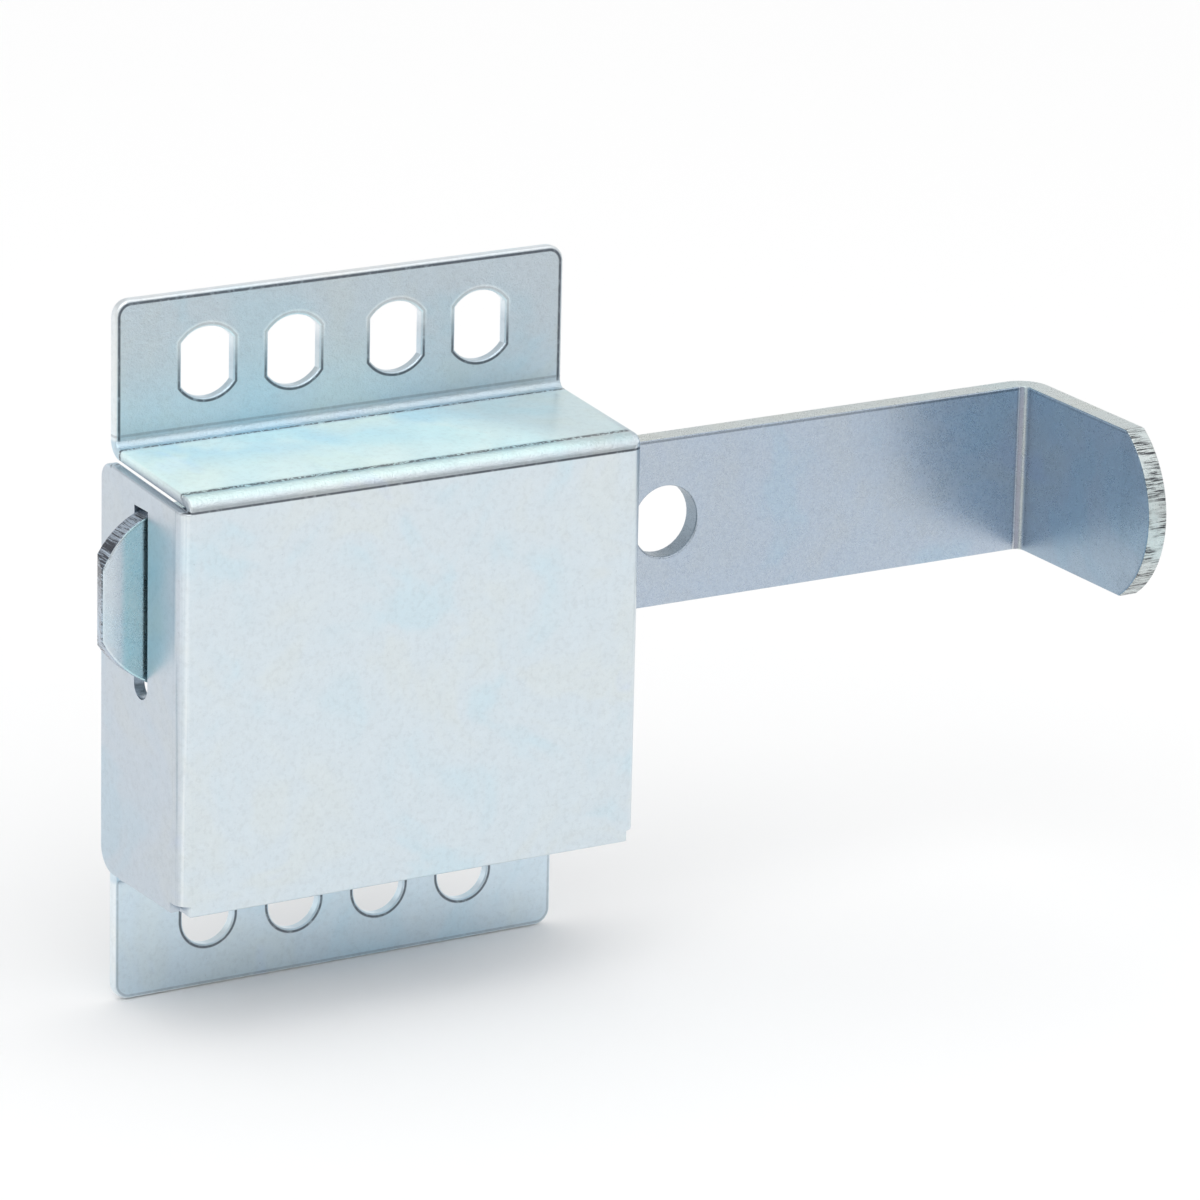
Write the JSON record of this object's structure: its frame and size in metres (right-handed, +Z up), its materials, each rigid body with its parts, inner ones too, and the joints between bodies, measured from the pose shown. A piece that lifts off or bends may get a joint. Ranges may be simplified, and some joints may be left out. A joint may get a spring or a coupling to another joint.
{
  "type": "slide bolt gate latch",
  "caption": "Slide bolt latch: a flat steel bar with a bent pull hook and padlock hole slides through a folded box housing with slotted fixing flanges.",
  "frame": {"origin": "on the mounting plane (the back face of the flanges), behind the middle of the box and level with the upper row of fixing holes", "axes": "+Z up; +Y into the door or gate that the latch is fixed to; +X along the bolt towards its pull hook, so the nose points to -X"},
  "size_m": [0.1899, 0.0568, 0.1259],
  "materials": {
    "zinc_housing": "bright blue-white zinc plating on smooth sheet steel",
    "zinc_bolt": "blue-white zinc plating on flat steel bar, sheared edges",
    "zinc_rivet": "dull zinc plating",
    "spring_wire": "drawn spring steel wire"
  },
  "bodies": {
    "housing": {"housing": "zinc_housing", "spring": "spring_wire"},
    "bolt": {"bolt": "zinc_bolt", "spring_post": "zinc_rivet", "stop_rivet": "zinc_rivet"}
  },
  "joints": [
    {"name": "bolt_slide", "type": "slide", "parent": "housing", "child": "bolt", "axis": [-1, 0, 0], "range_m": [0, 0.045], "deforming": ["spring"]}
  ]
}
